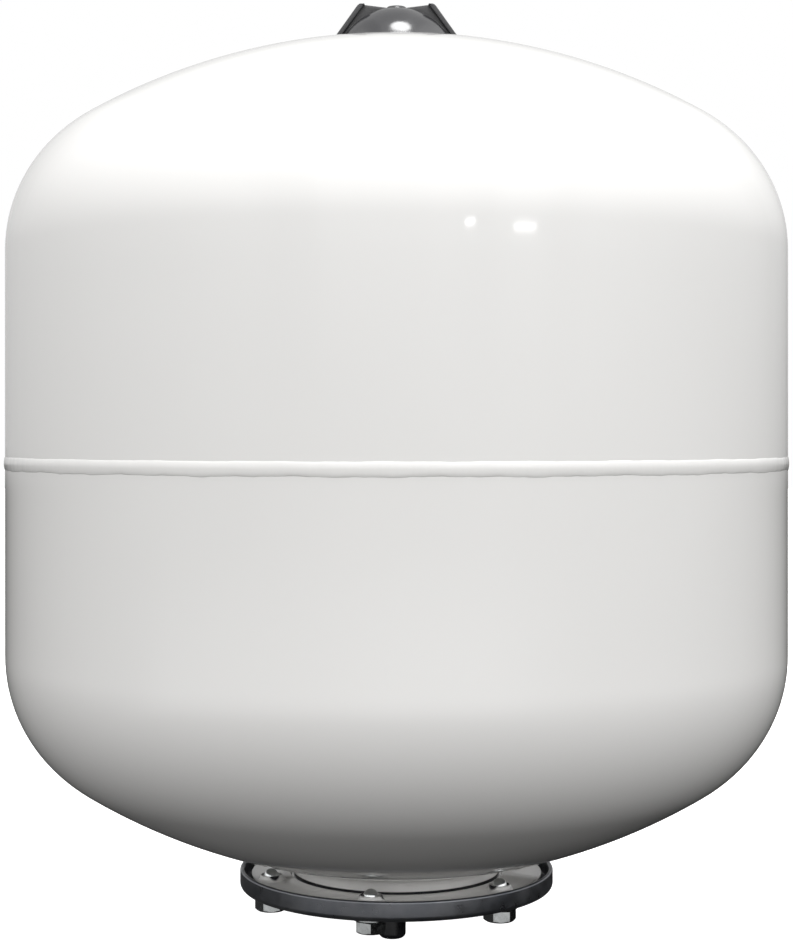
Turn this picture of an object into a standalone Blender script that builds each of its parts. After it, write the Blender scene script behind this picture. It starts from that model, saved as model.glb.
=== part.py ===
"""Membrane expansion vessel for a sealed heating system, built as separate named pieces.

Metres, +Z up. The vessel's axis is the Z axis. Z = 0 is the lowest point, the end of the
grip on the transport plug in the water connection. -Y is the front.
"""

import math

import bmesh
import bpy

# Clearance between pieces that are welded, screwed, clamped or stacked on each other.
GAP = 0.0003
MICRON = 1e-6

# Pressed steel shell: two dished heads with straight skirts, joined at the seam.
SHELL_RADIUS = 0.1818
SHEET = 0.0015
UPPER_CROWN_RADIUS = 0.2886
UPPER_KNUCKLE_RADIUS = 0.0695
UPPER_APEX_Z = 0.4227
LOWER_CROWN_RADIUS = 0.2762
LOWER_KNUCKLE_RADIUS = 0.0711
LOWER_APEX_Z = 0.0336
SEAM_Z = 0.2250
SHELL_STEPS = 40
FLANGE_STEPS = 36
KNUCKLE_STEPS = 6
CROWN_STEPS = 5

# Seam: the lower skirt is set in by one sheet and slides into the upper one.
SEAM_GROOVE_HALF = 0.0012
JOGGLE_RISE = 0.008
JOGGLE_BEND = 0.003
BEAD_RADIUS = 0.1825
BEAD_HALF_HEIGHT = 0.00305
BEAD_ARC_STEPS = 4

# Neck under the lower head and the flange ring welded round it.
NECK_RADIUS = 0.0486
NECK_WALL = 0.0020
NECK_FILLET = 0.0040
FLANGE_RING_RADIUS = 0.0685
FLANGE_RING_TOP = 0.0320
FLANGE_RING_BOTTOM = 0.0295
COLLAR_RADIUS = 0.0055
COLLAR_HEIGHT = 0.0035

# Counter flange: a pressed dish with a turned-up rim.
COUNTER_RADIUS = 0.0738
COUNTER_BOTTOM = 0.0250
COUNTER_SHEET = 0.0020
COUNTER_TOP = 0.0343
COUNTER_CORNER = 0.0024

# Six M8 screws with washers, from below.
BOLT_COUNT = 6
BOLT_CIRCLE_RADIUS = 0.0615
FIRST_BOLT_DEG = -10.6
BOLT_TURNS_DEG = (0.0, 35.0, 12.0, 50.0, 24.0, 35.0)
THREAD_RADIUS = 0.0040
THREAD_CHAMFER = 0.0008
BOLT_LENGTH = 0.0138
HEAD_FLATS = 0.0130
HEAD_HEIGHT = 0.0053
HEAD_CHAMFER = 0.0006
WASHER_RADIUS = 0.0080
WASHER_THICKNESS = 0.0012
BOLT_STEPS = 18
HOLE_CLEARANCE = 0.0005

# Rubber membrane: a round bag whose lip is clamped between the two flanges.
BAG_RADIUS = 0.150
BAG_CENTRE_Z = 0.195
BAG_WALL = 0.0020
BAG_NECK_RADIUS = 0.0458
BAG_LIP_RADIUS = 0.0560
BAG_STEPS = 32
BAG_ARC_STEPS = 10

# Water connection: a 3/4 inch nipple in the counter flange, and its push-in transport plug.
NOZZLE_RADIUS = 0.0132
NOZZLE_BORE = 0.0090
NOZZLE_END_Z = 0.0102
NOZZLE_TOP_Z = 0.0300
NOZZLE_COLLAR_RADIUS = 0.0170
NOZZLE_COLLAR_THICKNESS = 0.0012
PLUG_WALL = 0.0015
PLUG_TOP_Z = 0.0250
PLUG_FLOOR_Z = 0.0135
GRIP_RADIUS = 0.0064
GRIP_ROUNDING = 0.0022
GRIP_OFFSET_X = -0.0020
GRIP_OVERLAP = 0.0010

# Gas valve: a boss welded into the upper head, the screwed-in stem and what is inside it.
BOSS_RADIUS = 0.0140
BOSS_TOP_Z = 0.4330
BOSS_BOTTOM_Z = 0.4140
BOSS_RECESS_RADIUS = 0.0102
BOSS_FLOOR_Z = 0.4190
BOSS_BACKING_RADIUS = 0.0175
BOSS_BACKING_TOP_Z = 0.4202
BOSS_BACKING_BOTTOM_Z = 0.4180
STEM_FLATS = 0.0140
STEM_HEX_HEIGHT = 0.0030
STEM_THREAD_RADIUS = 0.0050
STEM_BOTTOM_Z = 0.4120
STEM_RADIUS = 0.00385
STEM_TOP_Z = 0.4305
STEM_BORE = 0.0026
STEM_AIRWAY = 0.0015
STEM_LEDGE_Z = 0.4190
CORE_RADIUS = 0.0023
CORE_BORE = 0.00175
CORE_AIRWAY = 0.0009
CORE_BOTTOM_Z = 0.4206
CORE_FLOOR_Z = 0.4215
CORE_TOP_Z = 0.4288
CORE_SEAL_HEIGHT = 0.0010
PIN_RADIUS = 0.0006
PIN_COLLAR_RADIUS = 0.0014
PIN_COLLAR_Z = 0.4277
PIN_COLLAR_HEIGHT = 0.0006
PIN_TOP_Z = 0.4298
PIN_BOTTOM_Z = 0.4155
POPPET_RADIUS = 0.0012
POPPET_HEIGHT = 0.0015
SPRING_RADIUS = 0.00115
SPRING_WIRE = 0.0002
SPRING_TURNS = 5
SPRING_STEPS = 10
DUST_CAP_RADIUS = 0.0052
DUST_CAP_BOTTOM_Z = 0.4240
DUST_CAP_TOP_Z = 0.4325
DUST_CAP_CROWN = 0.0011
DUST_SEAL_HEIGHT = 0.0005
SMALL_STEPS = 24

# Protective cap over the valve: a dome with two grip wings that screws onto the boss.
DOME_RADIUS = 0.0294
DOME_CENTRE_Z = 0.4102
DOME_WALL = 0.0018
DOME_ARC_STEPS = 6
CAP_BASE_Z = 0.4232
CAP_SKIRT_WALL = 0.0020
CAP_SKIRT_BOTTOM_Z = 0.4262
BUTTON_RADIUS = 0.0046
BUTTON_TOP_Z = 0.4403
WING_FOOT_X = 0.0309
WING_SHOULDER_X = 0.0184
WING_SHOULDER_Z = 0.4407
WEB_TOP_X = 0.0163
WEB_TOP_Z = 0.4413
HORN_X = 0.0159
HORN_Z = 0.4415
WING_INNER_Z = 0.4397
WING_THICKNESS = 0.0028
RAIL_WIDTH = 0.0027
RAIL_THICKNESS = 0.0070
WEB_OVERLAP = 0.0010
CAP_STEPS = 32
SEAL_RING_RADIUS = 0.0262
SEAL_RING_WIDTH = 0.0024

# Colours (linear), roughness and metallic value of each finish.
WHITE_ENAMEL = ((0.86, 0.86, 0.85), 0.16, 0.0)
COUNTER_STEEL = ((0.075, 0.082, 0.098), 0.38, 0.85)
ZINC_STEEL = ((0.30, 0.31, 0.32), 0.30, 1.0)
BLACK_RUBBER = ((0.018, 0.018, 0.019), 0.75, 0.0)
BLACK_PLASTIC = ((0.012, 0.012, 0.014), 0.22, 0.0)
GREY_PLASTIC = ((0.125, 0.125, 0.130), 0.20, 0.0)
BRASS = ((0.62, 0.45, 0.18), 0.28, 1.0)
SPRING_STEEL = ((0.45, 0.45, 0.46), 0.30, 1.0)


def clear_scene():
    for obj in list(bpy.data.objects):
        bpy.data.objects.remove(obj, do_unlink=True)


def show(name, mesh, finish):
    """Adds an object with its own Principled material."""
    colour, roughness, metallic = finish
    material = bpy.data.materials.new(name + "_finish")
    material.use_nodes = True
    shader = material.node_tree.nodes["Principled BSDF"]
    shader.inputs["Base Color"].default_value = (*colour, 1.0)
    shader.inputs["Roughness"].default_value = roughness
    shader.inputs["Metallic"].default_value = metallic
    obj = bpy.data.objects.new(name, mesh)
    obj.data.materials.append(material)
    bpy.context.scene.collection.objects.link(obj)
    return obj


def helper(name, mesh):
    """Adds an object that only feeds a Boolean."""
    obj = bpy.data.objects.new(name, mesh)
    obj.hide_render = True
    obj.display_type = "WIRE"
    bpy.context.scene.collection.objects.link(obj)
    return obj


def combine(obj, other, operation):
    modifier = obj.modifiers.new(other.name, "BOOLEAN")
    modifier.operation = operation
    modifier.object = other


def arc(centre_r, centre_z, radius, start_deg, end_deg, steps):
    """Points on an arc in the (r, z) plane. 0 degrees points outwards, 90 degrees up."""
    points = []
    for step in range(steps + 1):
        angle = math.radians(start_deg + (end_deg - start_deg) * step / steps)
        points.append((centre_r + radius * math.cos(angle), centre_z + radius * math.sin(angle)))
    return points


def turned_mesh(name, outline, steps, hexagon_flats=None):
    """The outline of (r, z) points spun round Z. It is closed, or else starts and ends on the axis.

    Points that lie half of hexagon_flats from the axis are pushed out to a hexagon.
    """
    mesh = bpy.data.meshes.new(name)
    work = bmesh.new()
    verts = [work.verts.new((r, 0, z)) for r, z in outline]
    edges = [work.edges.new(pair) for pair in zip(verts, verts[1:])]
    if outline[0][0] > MICRON:
        edges.append(work.edges.new((verts[-1], verts[0])))
    bmesh.ops.spin(
        work,
        geom=verts + edges,
        cent=(0, 0, 0),
        axis=(0, 0, 1),
        angle=2 * math.pi,
        steps=steps,
        use_merge=True,
    )
    bmesh.ops.remove_doubles(work, verts=work.verts, dist=MICRON / 10)
    if hexagon_flats:
        for vert in work.verts:
            if abs(math.hypot(vert.co.x, vert.co.y) - hexagon_flats / 2) < MICRON:
                push_to_hexagon(vert)
    bmesh.ops.recalc_face_normals(work, faces=work.faces)
    work.to_mesh(mesh)
    work.free()
    mesh.shade_smooth()
    mesh.set_sharp_from_angle(angle=math.radians(35))
    return mesh


def push_to_hexagon(vert):
    sixth = math.pi / 3
    from_flat = (math.atan2(vert.co.y, vert.co.x) % sixth) - sixth / 2
    stretch = 1 / math.cos(from_flat)
    vert.co.x *= stretch
    vert.co.y *= stretch


def turned(name, outline, steps, finish, hexagon_flats=None):
    return show(name, turned_mesh(name, outline, steps, hexagon_flats), finish)


def plate_mesh(name, outlines_and_thickness):
    """Flat outlines of (x, z) points, each extruded evenly to both sides of Y = 0."""
    mesh = bpy.data.meshes.new(name)
    work = bmesh.new()
    for outline, thickness in outlines_and_thickness:
        face = work.faces.new([work.verts.new((x, -thickness / 2, z)) for x, z in outline])
        grown = bmesh.ops.extrude_face_region(work, geom=[face])
        moved = [item for item in grown["geom"] if isinstance(item, bmesh.types.BMVert)]
        bmesh.ops.translate(work, verts=moved, vec=(0, thickness, 0))
    bmesh.ops.recalc_face_normals(work, faces=work.faces)
    work.to_mesh(mesh)
    work.free()
    return mesh


def bolt_places():
    """(x, y) of each bolt. Angles count from the front, towards +X."""
    places = []
    for index in range(BOLT_COUNT):
        angle = math.radians(FIRST_BOLT_DEG + 360 * index / BOLT_COUNT)
        x = BOLT_CIRCLE_RADIUS * math.sin(angle)
        y = -BOLT_CIRCLE_RADIUS * math.cos(angle)
        places.append((x, y))
    return places


def posts_on_bolt_circle(name, radius, bottom, top):
    """One helper mesh of upright cylinders, one on each bolt's axis."""
    mesh = bpy.data.meshes.new(name)
    work = bmesh.new()
    for x, y in bolt_places():
        made = bmesh.ops.create_cone(
            work,
            cap_ends=True,
            segments=BOLT_STEPS,
            radius1=radius,
            radius2=radius,
            depth=top - bottom,
        )
        bmesh.ops.translate(work, verts=made["verts"], vec=(x, y, (top + bottom) / 2))
    work.to_mesh(mesh)
    work.free()
    return helper(name, mesh)


def head_points(crown_radius, knuckle_radius, inset, edge_radius):
    """(r, height) of a dished head from its tangent line to edge_radius, inset by a wall thickness."""
    radius = SHELL_RADIUS - inset
    crown = crown_radius - inset
    knuckle = knuckle_radius - inset
    drop = math.sqrt((crown - knuckle) ** 2 - (radius - knuckle) ** 2)
    turn = math.degrees(math.atan2(drop, radius - knuckle))
    edge = math.degrees(math.acos(edge_radius / crown))
    knuckle_arc = arc(radius - knuckle, 0, knuckle, 0, turn, KNUCKLE_STEPS)
    crown_arc = arc(0, -drop, crown, turn, edge, CROWN_STEPS)
    return knuckle_arc + crown_arc[1:]


def head_depth(crown_radius, knuckle_radius):
    drop = math.sqrt((crown_radius - knuckle_radius) ** 2 - (SHELL_RADIUS - knuckle_radius) ** 2)
    return crown_radius - drop


def upper_head_z(radius):
    """Height of the outside of the upper head's crown at this radius."""
    return UPPER_APEX_Z - UPPER_CROWN_RADIUS + math.sqrt(UPPER_CROWN_RADIUS**2 - radius**2)


def add_upper_shell():
    tangent = UPPER_APEX_Z - head_depth(UPPER_CROWN_RADIUS, UPPER_KNUCKLE_RADIUS)
    hole = BOSS_RADIUS + GAP
    outer_points = head_points(UPPER_CROWN_RADIUS, UPPER_KNUCKLE_RADIUS, 0, hole)
    inner_points = head_points(UPPER_CROWN_RADIUS, UPPER_KNUCKLE_RADIUS, SHEET, hole)
    outer = [(r, tangent + height) for r, height in outer_points]
    inner = [(r, tangent + height) for r, height in inner_points]
    edge = SEAM_Z + SEAM_GROOVE_HALF
    skirt_outer = [(SHELL_RADIUS, edge)]
    skirt_inner = [(SHELL_RADIUS - SHEET, edge)]
    outline = skirt_outer + outer + inner[::-1] + skirt_inner
    turned("upper_shell", outline, SHELL_STEPS, WHITE_ENAMEL)


def add_lower_shell():
    tangent = LOWER_APEX_Z + head_depth(LOWER_CROWN_RADIUS, LOWER_KNUCKLE_RADIUS)
    fillet_radius = NECK_RADIUS + NECK_FILLET
    outer_points = head_points(LOWER_CROWN_RADIUS, LOWER_KNUCKLE_RADIUS, 0, fillet_radius)
    inner_points = head_points(LOWER_CROWN_RADIUS, LOWER_KNUCKLE_RADIUS, SHEET, NECK_RADIUS + NECK_WALL)
    outer = [(r, tangent - height) for r, height in outer_points]
    inner = [(r, tangent - height) for r, height in inner_points]
    fillet_z = outer[-1][1] - NECK_FILLET
    fillet = arc(fillet_radius, fillet_z, NECK_FILLET, 90, 180, 4)[1:]
    neck_inside = NECK_RADIUS - NECK_WALL
    neck = [(NECK_RADIUS, FLANGE_RING_BOTTOM), (neck_inside, FLANGE_RING_BOTTOM)]
    neck_shoulder = [(neck_inside, inner[-1][1] - SHEET / 2)]
    shoulder = SEAM_Z - SEAM_GROOVE_HALF
    joggle_radius = SHELL_RADIUS - SHEET - GAP
    top = SEAM_Z + JOGGLE_RISE
    joggle_outer = [(joggle_radius, top), (joggle_radius, shoulder), (SHELL_RADIUS, shoulder)]
    joggle_inner = [
        (SHELL_RADIUS - SHEET, shoulder - 2 * JOGGLE_BEND),
        (joggle_radius - SHEET, shoulder - JOGGLE_BEND),
        (joggle_radius - SHEET, top),
    ]
    outline = joggle_outer + outer + fillet + neck + neck_shoulder + inner[::-1] + joggle_inner
    turned("lower_shell", outline, SHELL_STEPS, WHITE_ENAMEL)


def add_seam_weld_bead():
    """The weld fills the groove between the two skirts and stands a little proud of them."""
    root_radius = SHELL_RADIUS - SHEET + GAP / 2
    root_half = SEAM_GROOVE_HALF - GAP
    back = SHELL_RADIUS + GAP
    crest = BEAD_RADIUS - back
    outline = [(root_radius, SEAM_Z - root_half), (back, SEAM_Z - root_half)]
    for step in range(BEAD_ARC_STEPS + 1):
        angle = math.radians(-90 + 180 * step / BEAD_ARC_STEPS)
        outline.append((back + crest * math.cos(angle), SEAM_Z + BEAD_HALF_HEIGHT * math.sin(angle)))
    outline += [(back, SEAM_Z + root_half), (root_radius, SEAM_Z + root_half)]
    turned("seam_weld_bead", outline, SHELL_STEPS, WHITE_ENAMEL)


def add_neck_flange_ring():
    inside = NECK_RADIUS + GAP
    outline = [
        (inside, FLANGE_RING_BOTTOM),
        (FLANGE_RING_RADIUS, FLANGE_RING_BOTTOM),
        (FLANGE_RING_RADIUS, FLANGE_RING_TOP),
        (inside, FLANGE_RING_TOP),
    ]
    ring = turned("neck_flange_ring", outline, FLANGE_STEPS, WHITE_ENAMEL)
    middle = (FLANGE_RING_BOTTOM + FLANGE_RING_TOP) / 2
    collar_top = FLANGE_RING_TOP + COLLAR_HEIGHT
    collars = posts_on_bolt_circle("ring_collars", COLLAR_RADIUS, middle, collar_top)
    holes = posts_on_bolt_circle(
        "ring_holes", THREAD_RADIUS + GAP, FLANGE_RING_BOTTOM - COLLAR_HEIGHT, collar_top + COLLAR_HEIGHT
    )
    combine(ring, collars, "UNION")
    combine(ring, holes, "DIFFERENCE")


def add_counter_flange():
    plate_top = COUNTER_BOTTOM + COUNTER_SHEET
    corner_r = COUNTER_RADIUS - COUNTER_CORNER
    corner_z = COUNTER_BOTTOM + COUNTER_CORNER
    rim_half = COUNTER_SHEET / 2
    outer_corner = arc(corner_r, corner_z, COUNTER_CORNER, -90, 0, 4)
    rim_top = arc(COUNTER_RADIUS - rim_half, COUNTER_TOP - rim_half, rim_half, 0, 180, 4)
    inner_corner = arc(corner_r, corner_z, COUNTER_CORNER - COUNTER_SHEET, 0, -90, 2)
    hole = NOZZLE_RADIUS + GAP
    outline = [(hole, COUNTER_BOTTOM)] + outer_corner + rim_top + inner_corner + [(hole, plate_top)]
    flange = turned("counter_flange", outline, FLANGE_STEPS, COUNTER_STEEL)
    holes = posts_on_bolt_circle(
        "counter_holes",
        THREAD_RADIUS + HOLE_CLEARANCE,
        COUNTER_BOTTOM - COUNTER_SHEET,
        plate_top + COUNTER_SHEET,
    )
    combine(flange, holes, "DIFFERENCE")


def add_bolts_and_washers():
    washer_top = COUNTER_BOTTOM - GAP
    washer_bottom = washer_top - WASHER_THICKNESS
    head_top = washer_bottom - GAP
    head_bottom = head_top - HEAD_HEIGHT
    end = head_top + BOLT_LENGTH
    flat = HEAD_FLATS / 2
    bolt_outline = [
        (0, head_bottom),
        (flat - HEAD_CHAMFER, head_bottom),
        (flat, head_bottom + HEAD_CHAMFER),
        (flat, head_top),
        (THREAD_RADIUS, head_top),
        (THREAD_RADIUS, end - THREAD_CHAMFER),
        (THREAD_RADIUS - THREAD_CHAMFER, end),
        (0, end),
    ]
    washer_outline = [
        (THREAD_RADIUS + GAP, washer_bottom),
        (WASHER_RADIUS, washer_bottom),
        (WASHER_RADIUS, washer_top),
        (THREAD_RADIUS + GAP, washer_top),
    ]
    for index, (x, y) in enumerate(bolt_places()):
        number = str(index + 1)
        bolt = turned("flange_bolt_" + number, bolt_outline, BOLT_STEPS, ZINC_STEEL, HEAD_FLATS)
        bolt.location = (x, y, 0)
        bolt.rotation_euler = (0, 0, math.radians(BOLT_TURNS_DEG[index] - 90))
        washer = turned("flange_washer_" + number, washer_outline, BOLT_STEPS, ZINC_STEEL)
        washer.location = (x, y, 0)


def add_membrane_bag():
    """A bag of water inside the vessel: outside of it is the gas."""
    lip_bottom = COUNTER_BOTTOM + COUNTER_SHEET + GAP
    lip_top = FLANGE_RING_BOTTOM - GAP
    inner_radius = BAG_RADIUS - BAG_WALL
    neck_inner = BAG_NECK_RADIUS - BAG_WALL
    outer_start = -math.degrees(math.acos(BAG_NECK_RADIUS / BAG_RADIUS))
    inner_start = -math.degrees(math.acos(neck_inner / inner_radius))
    outer = arc(0, BAG_CENTRE_Z, BAG_RADIUS, outer_start, 90, BAG_ARC_STEPS)
    inner = arc(0, BAG_CENTRE_Z, inner_radius, 90, inner_start, BAG_ARC_STEPS)
    lip = [
        (neck_inner, lip_bottom),
        (BAG_LIP_RADIUS, lip_bottom),
        (BAG_LIP_RADIUS, lip_top),
        (BAG_NECK_RADIUS, lip_top),
    ]
    outline = on_axis(inner + lip + outer)
    turned("membrane_bag", outline, BAG_STEPS, BLACK_RUBBER)


def on_axis(points):
    """The same points with the first and last put exactly on the axis."""
    return [(0, points[0][1])] + points[1:-1] + [(0, points[-1][1])]


def add_water_nozzle():
    collar_bottom = COUNTER_BOTTOM + COUNTER_SHEET + GAP
    collar_top = collar_bottom + NOZZLE_COLLAR_THICKNESS
    outline = [
        (NOZZLE_BORE, NOZZLE_END_Z),
        (NOZZLE_RADIUS, NOZZLE_END_Z),
        (NOZZLE_RADIUS, collar_bottom),
        (NOZZLE_COLLAR_RADIUS, collar_bottom),
        (NOZZLE_COLLAR_RADIUS, collar_top),
        (NOZZLE_RADIUS, NOZZLE_TOP_Z),
        (NOZZLE_BORE, NOZZLE_TOP_Z),
    ]
    turned("water_nozzle", outline, CAP_STEPS, COUNTER_STEEL)


def add_nozzle_plug():
    """An open-topped cup inside the bore, with a round grip set a little off its centre below it."""
    outside = NOZZLE_BORE - GAP
    inside = outside - PLUG_WALL
    cup_bottom = NOZZLE_END_Z + GAP
    cup_outline = [
        (0, cup_bottom),
        (outside, cup_bottom),
        (outside, PLUG_TOP_Z),
        (inside, PLUG_TOP_Z),
        (inside, PLUG_FLOOR_Z),
        (0, PLUG_FLOOR_Z),
    ]
    grip_top = cup_bottom + GRIP_OVERLAP
    grip_end = arc(GRIP_RADIUS - GRIP_ROUNDING, GRIP_ROUNDING, GRIP_ROUNDING, -90, 0, 4)
    grip_outline = [(0, 0)] + grip_end + [(GRIP_RADIUS, grip_top), (0, grip_top)]
    plug = turned("nozzle_plug", cup_outline, SMALL_STEPS, BLACK_PLASTIC)
    grip = helper("plug_grip", turned_mesh("plug_grip", grip_outline, SMALL_STEPS))
    grip.location = (GRIP_OFFSET_X, 0, 0)
    combine(plug, grip, "UNION")


def add_valve_boss():
    outline = [
        (STEM_THREAD_RADIUS + GAP, BOSS_BOTTOM_Z),
        (BOSS_RADIUS, BOSS_BOTTOM_Z),
        (BOSS_RADIUS, BOSS_BACKING_BOTTOM_Z),
        (BOSS_BACKING_RADIUS, BOSS_BACKING_BOTTOM_Z),
        (BOSS_BACKING_RADIUS, BOSS_BACKING_TOP_Z),
        (BOSS_RADIUS, BOSS_BACKING_TOP_Z),
        (BOSS_RADIUS, BOSS_TOP_Z),
        (BOSS_RECESS_RADIUS, BOSS_TOP_Z),
        (BOSS_RECESS_RADIUS, BOSS_FLOOR_Z),
        (STEM_THREAD_RADIUS + GAP, BOSS_FLOOR_Z),
    ]
    turned("valve_boss", outline, CAP_STEPS, ZINC_STEEL)


def add_valve_stem():
    hexagon_bottom = BOSS_FLOOR_Z + GAP
    hexagon_top = hexagon_bottom + STEM_HEX_HEIGHT
    outline = [
        (STEM_AIRWAY, STEM_BOTTOM_Z),
        (STEM_THREAD_RADIUS, STEM_BOTTOM_Z),
        (STEM_THREAD_RADIUS, hexagon_bottom),
        (STEM_FLATS / 2, hexagon_bottom),
        (STEM_FLATS / 2, hexagon_top),
        (STEM_RADIUS, hexagon_top),
        (STEM_RADIUS, STEM_TOP_Z),
        (STEM_BORE, STEM_TOP_Z),
        (STEM_BORE, STEM_LEDGE_Z),
        (STEM_AIRWAY, STEM_LEDGE_Z),
    ]
    turned("valve_stem", outline, SMALL_STEPS, BRASS, STEM_FLATS)


def add_valve_core():
    barrel = [
        (CORE_AIRWAY, CORE_BOTTOM_Z),
        (CORE_RADIUS, CORE_BOTTOM_Z),
        (CORE_RADIUS, CORE_TOP_Z),
        (CORE_BORE, CORE_TOP_Z),
        (CORE_BORE, CORE_FLOOR_Z),
        (CORE_AIRWAY, CORE_FLOOR_Z),
    ]
    turned("valve_core", barrel, BOLT_STEPS, BRASS)
    seal_bottom = STEM_LEDGE_Z + GAP
    seal = [
        (STEM_AIRWAY - GAP, seal_bottom),
        (CORE_RADIUS - GAP, seal_bottom),
        (CORE_RADIUS, seal_bottom + CORE_SEAL_HEIGHT),
        (STEM_AIRWAY - GAP, seal_bottom + CORE_SEAL_HEIGHT),
    ]
    turned("valve_core_seal", seal, BOLT_STEPS, BLACK_RUBBER)


def add_valve_pin():
    outline = [
        (0, PIN_BOTTOM_Z),
        (POPPET_RADIUS, PIN_BOTTOM_Z),
        (POPPET_RADIUS, PIN_BOTTOM_Z + POPPET_HEIGHT),
        (PIN_RADIUS, PIN_BOTTOM_Z + POPPET_HEIGHT),
        (PIN_RADIUS, PIN_COLLAR_Z),
        (PIN_COLLAR_RADIUS, PIN_COLLAR_Z),
        (PIN_COLLAR_RADIUS, PIN_COLLAR_Z + PIN_COLLAR_HEIGHT),
        (PIN_RADIUS, PIN_COLLAR_Z + PIN_COLLAR_HEIGHT),
        (PIN_RADIUS, PIN_TOP_Z),
        (0, PIN_TOP_Z),
    ]
    turned("valve_pin", outline, BOLT_STEPS, BRASS)


def add_valve_spring():
    """A coil between the floor of the core's barrel and the pin's collar."""
    bottom = CORE_FLOOR_Z + GAP + SPRING_WIRE
    top = PIN_COLLAR_Z - GAP - SPRING_WIRE
    curve = bpy.data.curves.new("valve_spring", "CURVE")
    curve.dimensions = "3D"
    curve.bevel_depth = SPRING_WIRE
    curve.bevel_resolution = 0
    curve.use_fill_caps = True
    spline = curve.splines.new("POLY")
    count = SPRING_TURNS * SPRING_STEPS
    spline.points.add(count)
    for index, point in enumerate(spline.points):
        angle = 2 * math.pi * index / SPRING_STEPS
        x = SPRING_RADIUS * math.cos(angle)
        y = SPRING_RADIUS * math.sin(angle)
        z = bottom + (top - bottom) * index / count
        point.co = (x, y, z, 1)
    show("valve_spring", curve, SPRING_STEEL)


def add_dust_cap():
    inside = STEM_RADIUS + GAP
    ceiling = DUST_CAP_TOP_Z - DUST_CAP_CROWN
    rounding = DUST_CAP_CROWN / 2
    outline = [
        (0, ceiling),
        (inside, ceiling),
        (inside, DUST_CAP_BOTTOM_Z),
        (DUST_CAP_RADIUS, DUST_CAP_BOTTOM_Z),
        (DUST_CAP_RADIUS, DUST_CAP_TOP_Z - rounding),
        (DUST_CAP_RADIUS - rounding, DUST_CAP_TOP_Z),
        (0, DUST_CAP_TOP_Z),
    ]
    turned("dust_cap", outline, SMALL_STEPS, BLACK_PLASTIC)
    seal_bottom = STEM_TOP_Z + GAP / 2
    seal = [
        (0, seal_bottom),
        (STEM_RADIUS, seal_bottom),
        (STEM_RADIUS, seal_bottom + DUST_SEAL_HEIGHT),
        (0, seal_bottom + DUST_SEAL_HEIGHT),
    ]
    turned("dust_cap_seal", seal, BOLT_STEPS, BLACK_RUBBER)


def dome_angle(radius, sphere):
    return math.degrees(math.acos(radius / sphere))


def base_angle(sphere):
    return math.degrees(math.asin((CAP_BASE_Z - DOME_CENTRE_Z) / sphere))


def cap_dome_outline():
    """The dome's wall with the threaded skirt inside it and the button on top."""
    inner = DOME_RADIUS - DOME_WALL
    skirt_inside = BOSS_RADIUS + GAP
    skirt_outside = skirt_inside + CAP_SKIRT_WALL
    ceiling = arc(0, DOME_CENTRE_Z, inner, 90, dome_angle(skirt_inside, inner), 3)
    skirt = [(skirt_inside, CAP_SKIRT_BOTTOM_Z), (skirt_outside, CAP_SKIRT_BOTTOM_Z)]
    inner_base = base_angle(inner)
    wall_inner = arc(0, DOME_CENTRE_Z, inner, dome_angle(skirt_outside, inner), inner_base, 2)
    button_angle = dome_angle(BUTTON_RADIUS, DOME_RADIUS)
    outer = arc(0, DOME_CENTRE_Z, DOME_RADIUS, base_angle(DOME_RADIUS), button_angle, DOME_ARC_STEPS)
    button = [(BUTTON_RADIUS, BUTTON_TOP_Z), (0, BUTTON_TOP_Z)]
    return on_axis(ceiling + skirt + wall_inner + outer + button)


def wing_outlines(side):
    """A thin web from the dome to the slanted edge, and the thicker rail along that edge."""
    middle = DOME_RADIUS - DOME_WALL / 2
    web_start = BUTTON_RADIUS - WEB_OVERLAP
    along_dome = arc(
        0, DOME_CENTRE_Z, middle, dome_angle(web_start, middle), base_angle(middle) + 1, DOME_ARC_STEPS
    )
    web = along_dome + [
        (WING_FOOT_X - RAIL_WIDTH / 2, along_dome[-1][1]),
        (WING_SHOULDER_X - RAIL_WIDTH / 2, WING_SHOULDER_Z),
        (WEB_TOP_X, WEB_TOP_Z),
        (web_start, WING_INNER_Z),
    ]
    rail = [
        (WING_FOOT_X, CAP_BASE_Z),
        (WING_SHOULDER_X, WING_SHOULDER_Z),
        (HORN_X, HORN_Z),
        (WING_FOOT_X - RAIL_WIDTH, CAP_BASE_Z),
    ]
    web_sided = [(side * x, z) for x, z in web]
    rail_sided = [(side * x, z) for x, z in rail]
    return web_sided, rail_sided


def add_protective_cap():
    cap = turned("protective_cap", cap_dome_outline(), CAP_STEPS, GREY_PLASTIC)
    for side, label in ((1, "right"), (-1, "left")):
        web, rail = wing_outlines(side)
        combine(cap, helper("wing_web_" + label, plate_mesh("wing_web", [(web, WING_THICKNESS)])), "UNION")
        combine(cap, helper("wing_rail_" + label, plate_mesh("wing_rail", [(rail, RAIL_THICKNESS)])), "UNION")


def add_cap_seal_ring():
    """A rubber ring between the cap's lower edge and the head, which slopes away under it."""
    inside = SEAL_RING_RADIUS - SEAL_RING_WIDTH
    top = CAP_BASE_Z - GAP / 2
    outline = [
        (inside, upper_head_z(inside) + GAP / 2),
        (SEAL_RING_RADIUS, upper_head_z(SEAL_RING_RADIUS) + GAP / 2),
        (SEAL_RING_RADIUS, top),
        (inside, top),
    ]
    turned("cap_seal_ring", outline, CAP_STEPS, BLACK_RUBBER)


def main():
    clear_scene()
    add_upper_shell()
    add_lower_shell()
    add_seam_weld_bead()
    add_neck_flange_ring()
    add_counter_flange()
    add_bolts_and_washers()
    add_membrane_bag()
    add_water_nozzle()
    add_nozzle_plug()
    add_valve_boss()
    add_valve_stem()
    add_valve_core()
    add_valve_pin()
    add_valve_spring()
    add_dust_cap()
    add_protective_cap()
    add_cap_seal_ring()


main()
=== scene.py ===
import math

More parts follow.
